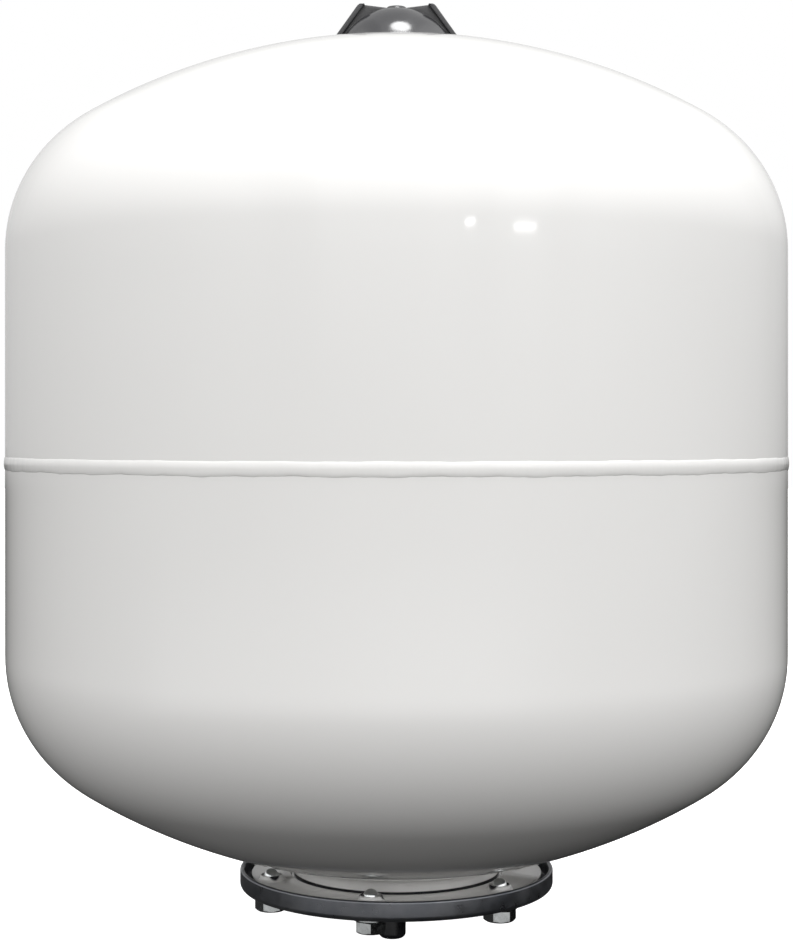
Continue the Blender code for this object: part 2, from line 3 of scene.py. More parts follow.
import bmesh
import bpy
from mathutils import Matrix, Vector


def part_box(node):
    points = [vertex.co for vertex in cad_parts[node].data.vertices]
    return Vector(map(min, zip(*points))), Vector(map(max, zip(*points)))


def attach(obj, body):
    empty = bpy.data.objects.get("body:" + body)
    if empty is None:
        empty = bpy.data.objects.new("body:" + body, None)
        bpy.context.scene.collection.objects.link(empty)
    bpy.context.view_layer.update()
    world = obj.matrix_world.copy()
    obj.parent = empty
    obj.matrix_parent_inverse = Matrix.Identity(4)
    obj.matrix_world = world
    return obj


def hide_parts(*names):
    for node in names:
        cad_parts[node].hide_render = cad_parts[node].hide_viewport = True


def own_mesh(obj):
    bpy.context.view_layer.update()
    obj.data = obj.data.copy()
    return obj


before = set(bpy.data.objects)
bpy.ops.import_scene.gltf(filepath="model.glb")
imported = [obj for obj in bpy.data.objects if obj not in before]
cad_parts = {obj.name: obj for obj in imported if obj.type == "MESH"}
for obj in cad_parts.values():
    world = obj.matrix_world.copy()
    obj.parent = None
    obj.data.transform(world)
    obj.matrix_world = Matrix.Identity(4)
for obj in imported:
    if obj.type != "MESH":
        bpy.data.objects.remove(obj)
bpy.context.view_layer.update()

# ---------------------------------------------------------------- sizes, in metres

# Shell: radii of the dished heads and the sheet they are pressed from.
SHEET = 0.0015
UPPER_CROWN = 0.2886
UPPER_KNUCKLE = 0.0695
UPPER_APEX_Z = 0.4227
LOWER_CROWN = 0.2762
LOWER_KNUCKLE = 0.0711
LOWER_APEX_Z = 0.0336
SEAM_GROOVE = 0.0012
NECK_WALL = 0.0020
NECK_FILLET = 0.0040
EDGE_ROUNDING = 0.0004

# Screws: M8 in the flange, and the threads of the valve and the pipe nipple.
THREAD_RADIUS = 0.0040
THREAD_PITCH = 0.00125
HEAD_FLATS = 0.0130
HEAD_HEIGHT = 0.0053
# A hexagon's chamfer starts at this share of the width across its flats, as a radius.
CHAMFER_SHARE = 0.475
BOLT_TURNS_DEG = (0.0, 35.0, 12.0, 50.0, 24.0, 35.0)
NIPPLE_PITCH = 0.001814
BOSS_PITCH = 0.0025
STEM_PITCH = 0.0010
VALVE_PITCH = 0.000794
STEM_FLATS = 0.0140

SPRING_TURNS = 5

# The protective cap's dome is part of a sphere on the vessel's axis.
DOME_RADIUS = 0.0294
DOME_CENTRE_Z = 0.4102


def low(node):
    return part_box(node)[0]


def high(node):
    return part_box(node)[1]


def radius_of(node):
    return high(node)[0]


def middle(node):
    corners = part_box(node)
    return Vector([(corners[0][axis] + corners[1][axis]) / 2 for axis in range(3)])


SHELL_RADIUS = radius_of("upper_shell")
SEAM_Z = middle("seam_weld_bead").z
RING_TOP_Z = 0.0320
RING_BOTTOM_Z = low("neck_flange_ring")[2]
NECK_RADIUS = 0.0486

# ---------------------------------------------------------------- mesh tools


def arc(centre_r, centre_z, radius, start_deg, end_deg, steps):
    """Points on an arc in the (r, z) plane. 0 degrees points outwards, 90 degrees up."""
    points = []
    for step in range(steps + 1):
        angle = math.radians(start_deg + (end_deg - start_deg) * step / steps)
        points.append((centre_r + radius * math.cos(angle), centre_z + radius * math.sin(angle)))
    return points


def rounded(outline, steps=4):
    """Replaces each (r, z, rounding) corner of a closed outline with a small curve. Plain points stay."""
    points = []
    count = len(outline)
    for index, corner in enumerate(outline):
        if len(corner) == 2:
            points.append(corner)
            continue
        here = Vector(corner[:2])
        before = Vector(outline[index - 1][:2]) - here
        after = Vector(outline[(index + 1) % count][:2]) - here
        reach = min(corner[2], before.length * 0.49, after.length * 0.49)
        start = here + before.normalized() * reach
        end = here + after.normalized() * reach
        for step in range(steps + 1):
            t = step / steps
            point = start * (1 - t) ** 2 + here * 2 * t * (1 - t) + end * t**2
            points.append((point.x, point.y))
    return points


def rows(r, z_from, z_to, count):
    """Points straight up or down a wall, both ends included."""
    return [(r, z_from + (z_to - z_from) * index / count) for index in range(count + 1)]


def lathe(name, outline, steps, warp=None, sharp_deg=38):
    """Turns an outline of (r, z) points round Z. It is closed, or else starts and ends on the axis.

    warp(r, z, angle) returns the point's own r and z at that angle.
    """
    on_axis = outline[0][0] < 1e-7
    inner = outline[1:-1] if on_axis else outline
    work = bmesh.new()
    columns = []
    for step in range(steps):
        angle = 2 * math.pi * step / steps
        column = []
        for r, z in inner:
            if warp:
                r, z = warp(r, z, angle)
            column.append(work.verts.new((r * math.cos(angle), r * math.sin(angle), z)))
        columns.append(column)
    for step in range(steps):
        here = columns[step]
        there = columns[(step + 1) % steps]
        for index in range(len(inner) - 1):
            work.faces.new((here[index], there[index], there[index + 1], here[index + 1]))
        if not on_axis:
            work.faces.new((here[-1], there[-1], there[0], here[0]))
    if on_axis:
        first = work.verts.new((0, 0, outline[0][1]))
        last = work.verts.new((0, 0, outline[-1][1]))
        for step in range(steps):
            here = columns[step]
            there = columns[(step + 1) % steps]
            work.faces.new((first, there[0], here[0]))
            work.faces.new((last, here[-1], there[-1]))
    bmesh.ops.recalc_face_normals(work, faces=work.faces)
    return finished_mesh(name, work, sharp_deg)


def finished_mesh(name, work, sharp_deg=38):
    mesh = bpy.data.meshes.new(name)
    work.to_mesh(mesh)
    work.free()
    mesh.shade_smooth()
    mesh.set_sharp_from_angle(angle=math.radians(sharp_deg))
    obj = bpy.data.objects.new(name, mesh)
    bpy.context.scene.collection.objects.link(obj)
    return obj


def plate(name, outline, thickness, bevel, segments=3):
    """A flat (x, z) outline extruded evenly to both sides of Y = 0, with its edges rounded."""
    work = bmesh.new()
    face = work.faces.new([work.verts.new((x, -thickness / 2, z)) for x, z in outline])
    grown = bmesh.ops.extrude_face_region(work, geom=[face])
    moved = [item for item in grown["geom"] if isinstance(item, bmesh.types.BMVert)]
    bmesh.ops.translate(work, verts=moved, vec=(0, thickness, 0))
    bmesh.ops.recalc_face_normals(work, faces=work.faces)
    sharp = [edge for edge in work.edges if edge.calc_face_angle(0) > math.radians(25)]
    bmesh.ops.bevel(work, geom=sharp, offset=bevel, segments=segments, profile=0.5, affect="EDGES")
    return finished_mesh(name, work)


def boolean(obj, others, operation):
    """Joins or cuts, applies the result to the mesh and removes the other objects."""
    for other in others:
        modifier = obj.modifiers.new("cut", "BOOLEAN")
        modifier.operation = operation
        modifier.object = other
    graph = bpy.context.evaluated_depsgraph_get()
    made = bpy.data.meshes.new_from_object(obj.evaluated_get(graph))
    obj.modifiers.clear()
    obj.data = made
    made.shade_smooth()
    made.set_sharp_from_angle(angle=math.radians(38))
    for other in others:
        bpy.data.objects.remove(other, do_unlink=True)


def joined(obj, others):
    """Adds the other objects' meshes to this one's, as shells of their own, and removes them."""
    work = bmesh.new()
    for each in [obj] + others:
        work.from_mesh(each.data)
    work.to_mesh(obj.data)
    work.free()
    obj.data.shade_smooth()
    obj.data.set_sharp_from_angle(angle=math.radians(38))
    for other in others:
        bpy.data.objects.remove(other, do_unlink=True)


def triangle_wave(t):
    """1 on a thread's crest, 0 in its root, with short flats on both."""
    wave = abs((t % 1) * 2 - 1)
    return min(1, max(0, wave * 1.35 - 0.175))


def threaded(wall_radius, pitch, depth, bottom, top):
    """A warp that cuts a right-handed thread into the wall at wall_radius, fading in at both ends."""

    def warp(r, z, angle):
        if abs(r - wall_radius) < 1e-7 and bottom <= z <= top:
            fade = min(1, (z - bottom) / pitch, (top - z) / pitch)
            r -= depth * fade * (1 - triangle_wave(z / pitch - angle / (2 * math.pi)))
        return r, z

    return warp


def hexagon(flats, chamfer_from=None, chamfer_up=True):
    """A warp that pushes the wall at half of flats out to a hexagon, with a turned chamfer at one end."""

    def warp(r, z, angle):
        if abs(r - flats / 2) < 1e-7:
            from_flat = (angle % (math.pi / 3)) - math.pi / 6
            r = flats / 2 / math.cos(from_flat)
            if chamfer_from is not None:
                rise = (z - chamfer_from) if chamfer_up else (chamfer_from - z)
                r = min(r, flats * CHAMFER_SHARE + rise * math.sqrt(3))
        return r, z

    return warp


def both(first, second):
    def warp(r, z, angle):
        warped = first(r, z, angle)
        return warped if warped != (r, z) else second(r, z, angle)

    return warp


def place(obj, body, slot, material, *stands_for):
    obj.data.materials.clear()
    obj.data.materials.append(material)
    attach(obj, body)
    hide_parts(*stands_for)
    return obj


# ---------------------------------------------------------------- materials


class Paint:
    """A Principled material with its nodes, built up step by step."""

    def __init__(self, name, metallic=0.0):
        self.material = bpy.data.materials.new(name)
        self.material.use_nodes = True
        self.tree = self.material.node_tree
        self.shader = self.tree.nodes["Principled BSDF"]
        self.shader.inputs["Metallic"].default_value = metallic
        self.place = self.tree.nodes.new("ShaderNodeTexCoord").outputs["Object"]
        self.normal = None

    def noise(self, scale, detail=2.0, roughness=0.5, stretch=None):
        source = self.place
        if stretch:
            mapping = self.tree.nodes.new("ShaderNodeMapping")
            mapping.inputs["Scale"].default_value = stretch
            self.tree.links.new(source, mapping.inputs["Vector"])
            source = mapping.outputs["Vector"]
        node = self.tree.nodes.new("ShaderNodeTexNoise")
        node.inputs["Scale"].default_value = scale
        node.inputs["Detail"].default_value = detail
        node.inputs["Roughness"].default_value = roughness
        self.tree.links.new(source, node.inputs["Vector"])
        return node.outputs["Fac"]

    def colour(self, pattern, dark, light, start=0.3, end=0.7):
        ramp = self.tree.nodes.new("ShaderNodeValToRGB")
        ramp.color_ramp.elements[0].position = start
        ramp.color_ramp.elements[0].color = (*dark, 1)
        ramp.color_ramp.elements[1].position = end
        ramp.color_ramp.elements[1].color = (*light, 1)
        self.tree.links.new(pattern, ramp.inputs["Fac"])
        self.tree.links.new(ramp.outputs["Color"], self.shader.inputs["Base Color"])

    def roughness(self, pattern, smooth, rough, start=0.3, end=0.7):
        spread = self.tree.nodes.new("ShaderNodeMapRange")
        spread.inputs["From Min"].default_value = start
        spread.inputs["From Max"].default_value = end
        spread.inputs["To Min"].default_value = smooth
        spread.inputs["To Max"].default_value = rough
        self.tree.links.new(pattern, spread.inputs["Value"])
        self.tree.links.new(spread.outputs["Result"], self.shader.inputs["Roughness"])

    def vector_math(self, operation, first, second=None):
        node = self.tree.nodes.new("ShaderNodeVectorMath")
        node.operation = operation
        self.tree.links.new(first, node.inputs[0])
        if second:
            node.inputs[1].default_value = second
        return node.outputs

    def distance_to_circle(self, radius, height):
        """How far each point is from a level circle round the Z axis."""
        flat = self.vector_math("MULTIPLY", self.place, (1, 1, 0))["Vector"]
        out = self.vector_math("LENGTH", flat)["Value"]
        separate = self.tree.nodes.new("ShaderNodeSeparateXYZ")
        self.tree.links.new(self.place, separate.inputs["Vector"])
        section = self.tree.nodes.new("ShaderNodeCombineXYZ")
        self.tree.links.new(out, section.inputs["X"])
        self.tree.links.new(separate.outputs["Z"], section.inputs["Y"])
        offset = self.vector_math("SUBTRACT", section.outputs["Vector"], (radius, height, 0))["Vector"]
        return self.vector_math("LENGTH", offset)["Value"]

    def darken(self, distance, solid, clear, dark):
        """Mixes a dark colour into the base colour: all of it at the distance solid, none at clear."""
        fade = self.tree.nodes.new("ShaderNodeMapRange")
        fade.inputs["From Min"].default_value = solid
        fade.inputs["From Max"].default_value = clear
        self.tree.links.new(distance, fade.inputs["Value"])
        mix = self.tree.nodes.new("ShaderNodeMix")
        mix.data_type = "RGBA"
        mix.inputs[6].default_value = (*dark, 1)
        base = self.shader.inputs["Base Color"]
        self.tree.links.new(base.links[0].from_socket, mix.inputs[7])
        self.tree.links.new(fade.outputs["Result"], mix.inputs["Factor"])
        self.tree.links.new(mix.outputs[2], base)

    def dull(self, distance, start, end, rough):
        """Raises the roughness, from nothing at the distance start to rough at end."""
        rise = self.tree.nodes.new("ShaderNodeMapRange")
        rise.inputs["From Min"].default_value = start
        rise.inputs["From Max"].default_value = end
        rise.inputs["To Max"].default_value = rough
        self.tree.links.new(distance, rise.inputs["Value"])
        most = self.tree.nodes.new("ShaderNodeMath")
        most.operation = "MAXIMUM"
        socket = self.shader.inputs["Roughness"]
        self.tree.links.new(socket.links[0].from_socket, most.inputs[0])
        self.tree.links.new(rise.outputs["Result"], most.inputs[1])
        self.tree.links.new(most.outputs["Value"], socket)

    def bump(self, pattern, height, strength=1.0):
        """height is the bump's full height in metres."""
        node = self.tree.nodes.new("ShaderNodeBump")
        node.inputs["Distance"].default_value = height
        node.inputs["Strength"].default_value = strength
        self.tree.links.new(pattern, node.inputs["Height"])
        if self.normal:
            self.tree.links.new(self.normal, node.inputs["Normal"])
        self.normal = node.outputs["Normal"]
        self.tree.links.new(self.normal, self.shader.inputs["Normal"])


def white_enamel(name, painted_shade_circles=()):
    """Each of the darkened circles is (radius, z, half-width). The darkening is painted shade: the shadowed
    groove at the neck joint, and round the collars, where it stands for dark metal nuts partly in shadow.
    """
    paint = Paint(name)
    paint.colour(paint.noise(5, 3), (0.850, 0.843, 0.828), (0.875, 0.868, 0.853))
    paint.roughness(paint.noise(40, 3), 0.035, 0.065)
    paint.bump(paint.noise(11, 1), 0.0001)
    paint.bump(paint.noise(420, 2), 0.000002)
    for radius, height, reach in painted_shade_circles:
        # Painted shade: a near-black colour mixed into the paint round each circle.
        paint.darken(paint.distance_to_circle(radius, height), reach * 0.7, reach, (0.012, 0.013, 0.017))
    return paint.material


def flange_steel():
    paint = Paint("flange_steel", metallic=0.9)
    paint.colour(paint.noise(60, 4), (0.150, 0.158, 0.178), (0.230, 0.236, 0.250))
    paint.roughness(paint.noise(180, 3), 0.26, 0.40)
    paint.bump(paint.noise(500, 2), 0.000008)
    return paint.material


def zinc_plate():
    paint = Paint("zinc_plate", metallic=1.0)
    paint.colour(paint.noise(260, 3), (0.55, 0.57, 0.57), (0.72, 0.74, 0.74))
    paint.roughness(paint.noise(500, 3), 0.12, 0.24)
    paint.bump(paint.noise(1500, 2), 0.00001)
    return paint.material


def brass():
    paint = Paint("brass", metallic=1.0)
    paint.colour(paint.noise(350, 3), (0.55, 0.37, 0.13), (0.74, 0.54, 0.24))
    paint.roughness(paint.noise(700, 2), 0.18, 0.34)
    paint.bump(paint.noise(60, 2, stretch=(1, 1, 60)), 0.00002)
    return paint.material


def spring_wire():
    paint = Paint("spring_wire", metallic=1.0)
    paint.colour(paint.noise(900, 2), (0.42, 0.42, 0.43), (0.60, 0.60, 0.61))
    paint.roughness(paint.noise(1200, 2), 0.2, 0.32)
    return paint.material


def rubber():
    paint = Paint("rubber")
    paint.colour(paint.noise(45, 3), (0.014, 0.014, 0.015), (0.028, 0.028, 0.029))
    paint.roughness(paint.noise(120, 3), 0.55, 0.78)
    paint.bump(paint.noise(1400, 2), 0.00005)
    return paint.material


def black_plastic():
    paint = Paint("black_plastic")
    paint.colour(paint.noise(90, 2), (0.008, 0.008, 0.010), (0.016, 0.016, 0.018))
    paint.roughness(paint.noise(200, 3), 0.16, 0.26)
    paint.bump(paint.noise(1600, 2), 0.00001)
    return paint.material


def grey_plastic():
    paint = Paint("grey_plastic")
    paint.colour(paint.noise(70, 3), (0.026, 0.026, 0.029), (0.036, 0.036, 0.039))
    paint.roughness(paint.noise(160, 3), 0.12, 0.22)
    paint.shader.inputs["IOR"].default_value = 1.8
    # The flat wings get a darker base colour than the dome: painted shade for their upright faces in
    # shadow. They are also made rougher than the dome.
    from_centre = paint.distance_to_circle(0, DOME_CENTRE_Z)
    paint.darken(from_centre, DOME_RADIUS + 0.0005, DOME_RADIUS + 0.0002, (0.013, 0.013, 0.015))
    paint.dull(from_centre, DOME_RADIUS + 0.0002, DOME_RADIUS + 0.0005, 0.6)
    paint.bump(paint.noise(60, 2), 0.00006)
    paint.bump(paint.noise(1500, 2), 0.000006)
    return paint.material


# ---------------------------------------------------------------- the welded shell


def head_points(crown_radius, knuckle_radius, inset, edge_radius, knuckle_steps=20, crown_steps=28):
    """(r, height) of a dished head from its tangent line to edge_radius, inset by a wall thickness."""
    radius = SHELL_RADIUS - inset
    crown = crown_radius - inset
    knuckle = knuckle_radius - inset
    drop = math.sqrt((crown - knuckle) ** 2 - (radius - knuckle) ** 2)
    turn = math.degrees(math.atan2(drop, radius - knuckle))
    edge = math.degrees(math.acos(edge_radius / crown))
    return (
        arc(radius - knuckle, 0, knuckle, 0, turn, knuckle_steps)
        + arc(0, -drop, crown, turn, edge, crown_steps)[1:]
    )


def head_depth(crown_radius, knuckle_radius):
    drop = math.sqrt((crown_radius - knuckle_radius) ** 2 - (SHELL_RADIUS - knuckle_radius) ** 2)
    return crown_radius - drop


def upper_head(material):
    tangent = UPPER_APEX_Z - head_depth(UPPER_CROWN, UPPER_KNUCKLE)
    hole = 0.0142
    outer = [(r, tangent + height) for r, height in head_points(UPPER_CROWN, UPPER_KNUCKLE, 0, hole)]
    inner = [(r, tangent + height) for r, height in head_points(UPPER_CROWN, UPPER_KNUCKLE, SHEET, hole)]
    edge = SEAM_Z + SEAM_GROOVE
    foot = rounded([outer[0], inner[0], (SHELL_RADIUS - SHEET, edge), (SHELL_RADIUS, edge, EDGE_ROUNDING)])
    wall = rows(SHELL_RADIUS, edge + 0.001, tangent, 6)[:-1]
    outline = foot[3:] + wall + outer + inner[::-1] + [foot[2]]
    obj = lathe("enamelled_upper_head", outline, 256)
    place(obj, "vessel", "white_enamel", material, "upper_shell")


def lower_head(material):
    tangent = LOWER_APEX_Z + head_depth(LOWER_CROWN, LOWER_KNUCKLE)
    fillet_radius = NECK_RADIUS + NECK_FILLET
    profile = head_points(LOWER_CROWN, LOWER_KNUCKLE, 0, fillet_radius)
    outer = [(r, tangent - height) for r, height in profile]
    edge = NECK_RADIUS + NECK_WALL
    inner = [(r, tangent - height) for r, height in head_points(LOWER_CROWN, LOWER_KNUCKLE, SHEET, edge)]
    fillet = arc(fillet_radius, outer[-1][1] - NECK_FILLET, NECK_FILLET, 90, 180, 10)[1:]
    neck_inside = NECK_RADIUS - NECK_WALL
    neck = [(NECK_RADIUS, RING_BOTTOM_Z), (neck_inside, RING_BOTTOM_Z), (neck_inside, inner[-1][1])]
    shoulder = SEAM_Z - SEAM_GROOVE
    joggle = SHELL_RADIUS - SHEET - 0.0003
    top = high("lower_shell")[2]
    skirt = [(joggle, top), (joggle, shoulder), (SHELL_RADIUS, shoulder)]
    inside = [
        (SHELL_RADIUS - SHEET, shoulder - 0.006),
        (joggle - SHEET, shoulder - 0.003),
        (joggle - SHEET, top),
    ]
    outline = skirt + outer + fillet + neck + inner[::-1] + inside
    obj = lathe("enamelled_lower_head", outline, 256)
    place(obj, "vessel", "white_enamel", material, "lower_shell")


def waves(angle, parts):
    """A sum of sines round the vessel: each part is (count, size, phase)."""
    return sum(size * math.sin(count * angle + phase) for count, size, phase in parts)


def seam_weld(material):
    """The painted weld: a flat bulge with the fine ripple of the weld pool and a wandering lower edge."""
    half = (high("seam_weld_bead")[2] - low("seam_weld_bead")[2]) / 2
    proud = radius_of("seam_weld_bead") - SHELL_RADIUS - 0.00008
    root = SHELL_RADIUS - 0.0006
    outline = [(root, SEAM_Z - half)]
    section_steps = 18
    for step in range(section_steps + 1):
        t = -1 + 2 * step / section_steps
        bulge = (1 - t * t) ** 0.68
        reach = half if t > 0 else half * 1.06
        outline.append((SHELL_RADIUS - 0.0001 + proud * bulge, SEAM_Z + reach * t))
    outline.append((root, SEAM_Z + half))

    def warp(r, z, angle):
        t = (z - SEAM_Z) / half
        ripple = waves(angle, ((360, 0.00003, 0.0), (157, 0.00002, 1.3), (61, 0.00003, 4.0)))
        upper = waves(angle, ((23, 0.00008, 0.4), (59, 0.00006, 2.2), (131, 0.00003, 0.9)))
        lower = waves(
            angle, ((17, 0.00016, 1.1), (43, 0.00014, 3.0), (101, 0.00008, 0.2), (211, 0.00004, 5.0))
        )
        z += upper * max(0, t) + lower * max(0, -t)
        if r > SHELL_RADIUS:
            r += ripple
        return r, z

    obj = lathe("painted_seam_weld", outline, 900, warp)
    place(obj, "vessel", "white_enamel", material, "seam_weld_bead")


# ---------------------------------------------------------------- the bottom flange


def bolt_places():
    return [middle("flange_bolt_%d" % (index + 1)) for index in range(len(BOLT_TURNS_DEG))]


def posts(radius, bottom, top):
    """Upright cylinders on the screws' axes, for cutting holes."""
    made = []
    for spot in bolt_places():
        outline = [(0, bottom), (radius, bottom), (radius, top), (0, top)]
        post = lathe("post", outline, 48)
        post.location = (spot.x, spot.y, 0)
        made.append(post)
    bpy.context.view_layer.update()
    return made


def neck_ring(material):
    """The ring welded round the neck, with a pulled-up collar round each screw."""
    inside = NECK_RADIUS - 0.0004
    outside = radius_of("neck_flange_ring")
    ring = lathe(
        "enamelled_flange_ring",
        rounded([
            (inside, RING_BOTTOM_Z),
            (outside, RING_BOTTOM_Z, 0.0006),
            (outside, RING_TOP_Z, 0.0006),
            (NECK_RADIUS + 0.0018, RING_TOP_Z, 0.0004),
            (NECK_RADIUS + 0.0008, RING_TOP_Z - 0.0015, 0.0002),
            (inside, RING_TOP_Z - 0.0015),
        ]),
        192,
    )
    collar_top = high("neck_flange_ring")[2] - 0.0012
    collars = []
    for spot in bolt_places():
        collar = lathe(
            "collar",
            rounded([
                (0.0020, RING_BOTTOM_Z + 0.0008),
                (0.0064, RING_BOTTOM_Z + 0.0008),
                (0.0064, RING_TOP_Z, 0.0004),
                (0.0056, RING_TOP_Z + 0.0006, 0.0008),
                (0.0052, collar_top, 0.0005),
                (0.0020, collar_top),
            ]),
            48,
        )
        collar.location = (spot.x, spot.y, 0)
        collars.append(collar)
    bpy.context.view_layer.update()
    boolean(ring, collars, "UNION")
    boolean(ring, posts(THREAD_RADIUS + 0.0006, RING_BOTTOM_Z - 0.002, collar_top + 0.002), "DIFFERENCE")
    place(ring, "vessel", "white_enamel", material, "neck_flange_ring")


def counter_flange(material):
    sheet = 0.0020
    radius = radius_of("counter_flange")
    bottom = low("counter_flange")[2]
    top = high("counter_flange")[2]
    corner = 0.0026
    hole = 0.0134
    outline = (
        [(hole, bottom)]
        + arc(radius - corner, bottom + corner, corner, -90, 0, 12)
        + arc(radius - sheet / 2, top - sheet / 2, sheet / 2, 0, 180, 10)
        + arc(radius - corner, bottom + corner, corner - sheet, 0, -90, 6)
        + [(hole, bottom + sheet)]
    )
    flange = lathe("pressed_counter_flange", outline, 256)
    boolean(flange, posts(THREAD_RADIUS + 0.0005, bottom - 0.002, bottom + sheet + 0.002), "DIFFERENCE")
    place(flange, "vessel", "flange_steel", material, "counter_flange")


def flange_screws(material):
    bottom = low("flange_bolt_1")[2]
    end = high("flange_bolt_1")[2]
    under_head = bottom + HEAD_HEIGHT
    flat = HEAD_FLATS / 2
    thread_bottom = under_head + 0.0012
    end_radius = THREAD_RADIUS - 0.0006
    dome = 0.0030
    sphere = (end_radius**2 + dome**2) / (2 * dome)
    domed_end = arc(0, end - sphere, sphere, math.degrees(math.acos(end_radius / sphere)), 90, 6)[:-1]
    thread_rows = rows(THREAD_RADIUS, thread_bottom, end - dome - 0.0004, 80)
    outline = (
        [(0, bottom + 0.0003), (0.0046, bottom + 0.0003), (0.0052, bottom)]
        + [(HEAD_FLATS * CHAMFER_SHARE - 0.0001, bottom)]
        + rows(flat, bottom, bottom + 0.0009, 6)
        + [(flat, under_head - 0.0002), (flat * 0.97, under_head)]
        + [(THREAD_RADIUS - 0.0001, under_head), (THREAD_RADIUS - 0.0001, thread_bottom - 0.0002)]
        + thread_rows
        + domed_end
        + [(0, end)]
    )
    cut = threaded(THREAD_RADIUS, THREAD_PITCH, 0.00065, thread_bottom - 0.001, end - dome)
    warp = both(hexagon(HEAD_FLATS, chamfer_from=bottom), cut)
    for index, spot in enumerate(bolt_places()):
        number = index + 1
        screw = lathe("threaded_screw_%d" % number, outline, 48, warp)
        screw.rotation_euler = (0, 0, math.radians(BOLT_TURNS_DEG[index] - 90))
        screw.location = (spot.x, spot.y, 0)
        bpy.context.view_layer.update()
        place(screw, "vessel", "zinc_steel", material, "flange_bolt_%d" % number)


def flange_washers(material):
    bottom = low("flange_washer_1")[2]
    top = high("flange_washer_1")[2]
    outside = radius_of("flange_washer_1") - middle("flange_washer_1").x
    edge = 0.0003
    hole = THREAD_RADIUS + 0.0002
    outline = rounded(
        [(hole, bottom, edge), (outside, bottom, edge), (outside, top, edge), (hole, top, edge)], 3
    )
    for index, spot in enumerate(bolt_places()):
        number = index + 1
        washer = lathe("stamped_washer_%d" % number, outline, 64)
        washer.location = (spot.x, spot.y, 0)
        bpy.context.view_layer.update()
        place(washer, "vessel", "zinc_steel", material, "flange_washer_%d" % number)


def membrane(material):
    """The bag, with the shallow upright folds that a part-filled one has."""
    wall = 0.0020
    radius = radius_of("membrane_bag")
    top = high("membrane_bag")[2]
    centre_z = 0.195
    sphere = top - centre_z
    neck = 0.0458
    lip_radius = 0.0560
    folds = 14
    fold_depth = 0.0035
    unfolded = 0.06
    lip_bottom = low("membrane_bag")[2]
    lip_top = RING_BOTTOM_Z - 0.0003
    outer_start = -math.degrees(math.acos(neck / sphere))
    inner_start = -math.degrees(math.acos((neck - wall) / (sphere - wall)))
    outer = arc(0, centre_z, sphere, outer_start, 90, 36)
    inner = arc(0, centre_z, sphere - wall, 90, inner_start, 36)
    lip = rounded([
        (neck - wall, lip_bottom, 0.0003),
        (lip_radius, lip_bottom, 0.0004),
        (lip_radius, lip_top, 0.0004),
        (neck, lip_top, 0.0003),
    ])
    outline = [(0, inner[0][1])] + inner[1:] + lip + outer[:-1] + [(0, outer[-1][1])]

    def warp(r, z, angle):
        reach = max(0, (r - unfolded) / (radius - unfolded))
        return r - fold_depth * reach * (1 + math.cos(folds * angle)), z

    obj = lathe("folded_membrane_bag", outline, 168, warp)
    place(obj, "vessel", "rubber", material, "membrane_bag")


# ---------------------------------------------------------------- water connection


def pipe_nipple(material):
    radius = 0.0132
    bore = 0.0090
    bottom = low("water_nozzle")[2]
    top = high("water_nozzle")[2]
    collar = radius_of("water_nozzle")
    collar_bottom = low("membrane_bag")[2]
    thread_top = low("counter_flange")[2] - 0.0008
    outline = (
        [(bore, bottom + 0.0005), (bore + 0.0005, bottom), (radius - 0.0012, bottom)]
        + rows(radius, bottom + 0.0008, thread_top, 64)
        + [(radius, collar_bottom)]
        + rounded([
            (radius, collar_bottom),
            (collar, collar_bottom, 0.0003),
            (collar, collar_bottom + 0.0012, 0.0005),
            (radius, top, 0.0004),
            (bore, top, 0.0004),
        ])[1:]
    )
    warp = threaded(radius, NIPPLE_PITCH, 0.00116, bottom - NIPPLE_PITCH, thread_top)
    obj = lathe("threaded_pipe_nipple", outline, 96, warp)
    place(obj, "vessel", "flange_steel", material, "water_nozzle")


def transport_plug(material):
    """An open-topped cup with sealing lips, and a round grip set a little off its centre below it."""
    outside = radius_of("nozzle_plug")
    inside = outside - 0.0015
    floor = 0.0135
    top = high("nozzle_plug")[2]
    ledge = low("water_nozzle")[2] + 0.0003
    grip_radius = 0.0064
    grip_offset = -0.0020
    rounding = 0.0024
    cup = (
        [(0, ledge)]
        + rounded([
            (outside, ledge, 0.0004),
            (outside, 0.0175, 0.0002),
            (outside - 0.0004, 0.0180, 0.0002),
            (outside - 0.0001, 0.0200, 0.0002),
            (outside - 0.0006, top, 0.0003),
            (inside, top, 0.0003),
            (inside, floor, 0.0008),
            (0.002, floor),
        ])
        + [(0, floor)]
    )
    grip = (
        [(0, 0)]
        + arc(grip_radius - rounding, rounding, rounding, -90, 0, 12)
        + [(grip_radius, ledge + 0.001), (0, ledge + 0.001)]
    )
    plug = lathe("rounded_transport_plug", cup, 96)
    grip = lathe("grip", grip, 96)
    grip.location = (grip_offset, 0, 0)
    bpy.context.view_layer.update()
    boolean(plug, [grip], "UNION")
    place(plug, "plug", "black_plastic", material, "nozzle_plug")


# ---------------------------------------------------------------- gas valve


def valve_boss(material):
    radius = 0.0140
    bottom = low("valve_boss")[2]
    top = high("valve_boss")[2]
    backing = radius_of("valve_boss")
    backing_bottom = 0.4180
    backing_top = 0.4202
    recess = 0.0102
    floor = 0.4190
    hole = 0.0053
    thread_bottom = 0.4250
    outline = rounded([
        (hole, bottom, 0.0003),
        (radius, bottom, 0.0006),
        (radius, backing_bottom),
        (backing, backing_bottom, 0.0004),
        (backing, backing_top, 0.0004),
        (radius, backing_top),
    ])
    outline += rows(radius, thread_bottom, top - 0.0006, 48)
    outline += rounded([
        (radius, top - 0.0006),
        (radius - 0.0006, top, 0.0002),
        (recess, top, 0.0005),
        (recess, floor, 0.0008),
        (hole, floor, 0.0003),
    ])[1:]
    warp = threaded(radius, BOSS_PITCH, 0.0009, thread_bottom, top + BOSS_PITCH)
    obj = lathe("threaded_valve_boss", outline, 128, warp)
    place(obj, "vessel", "zinc_steel", material, "valve_boss")


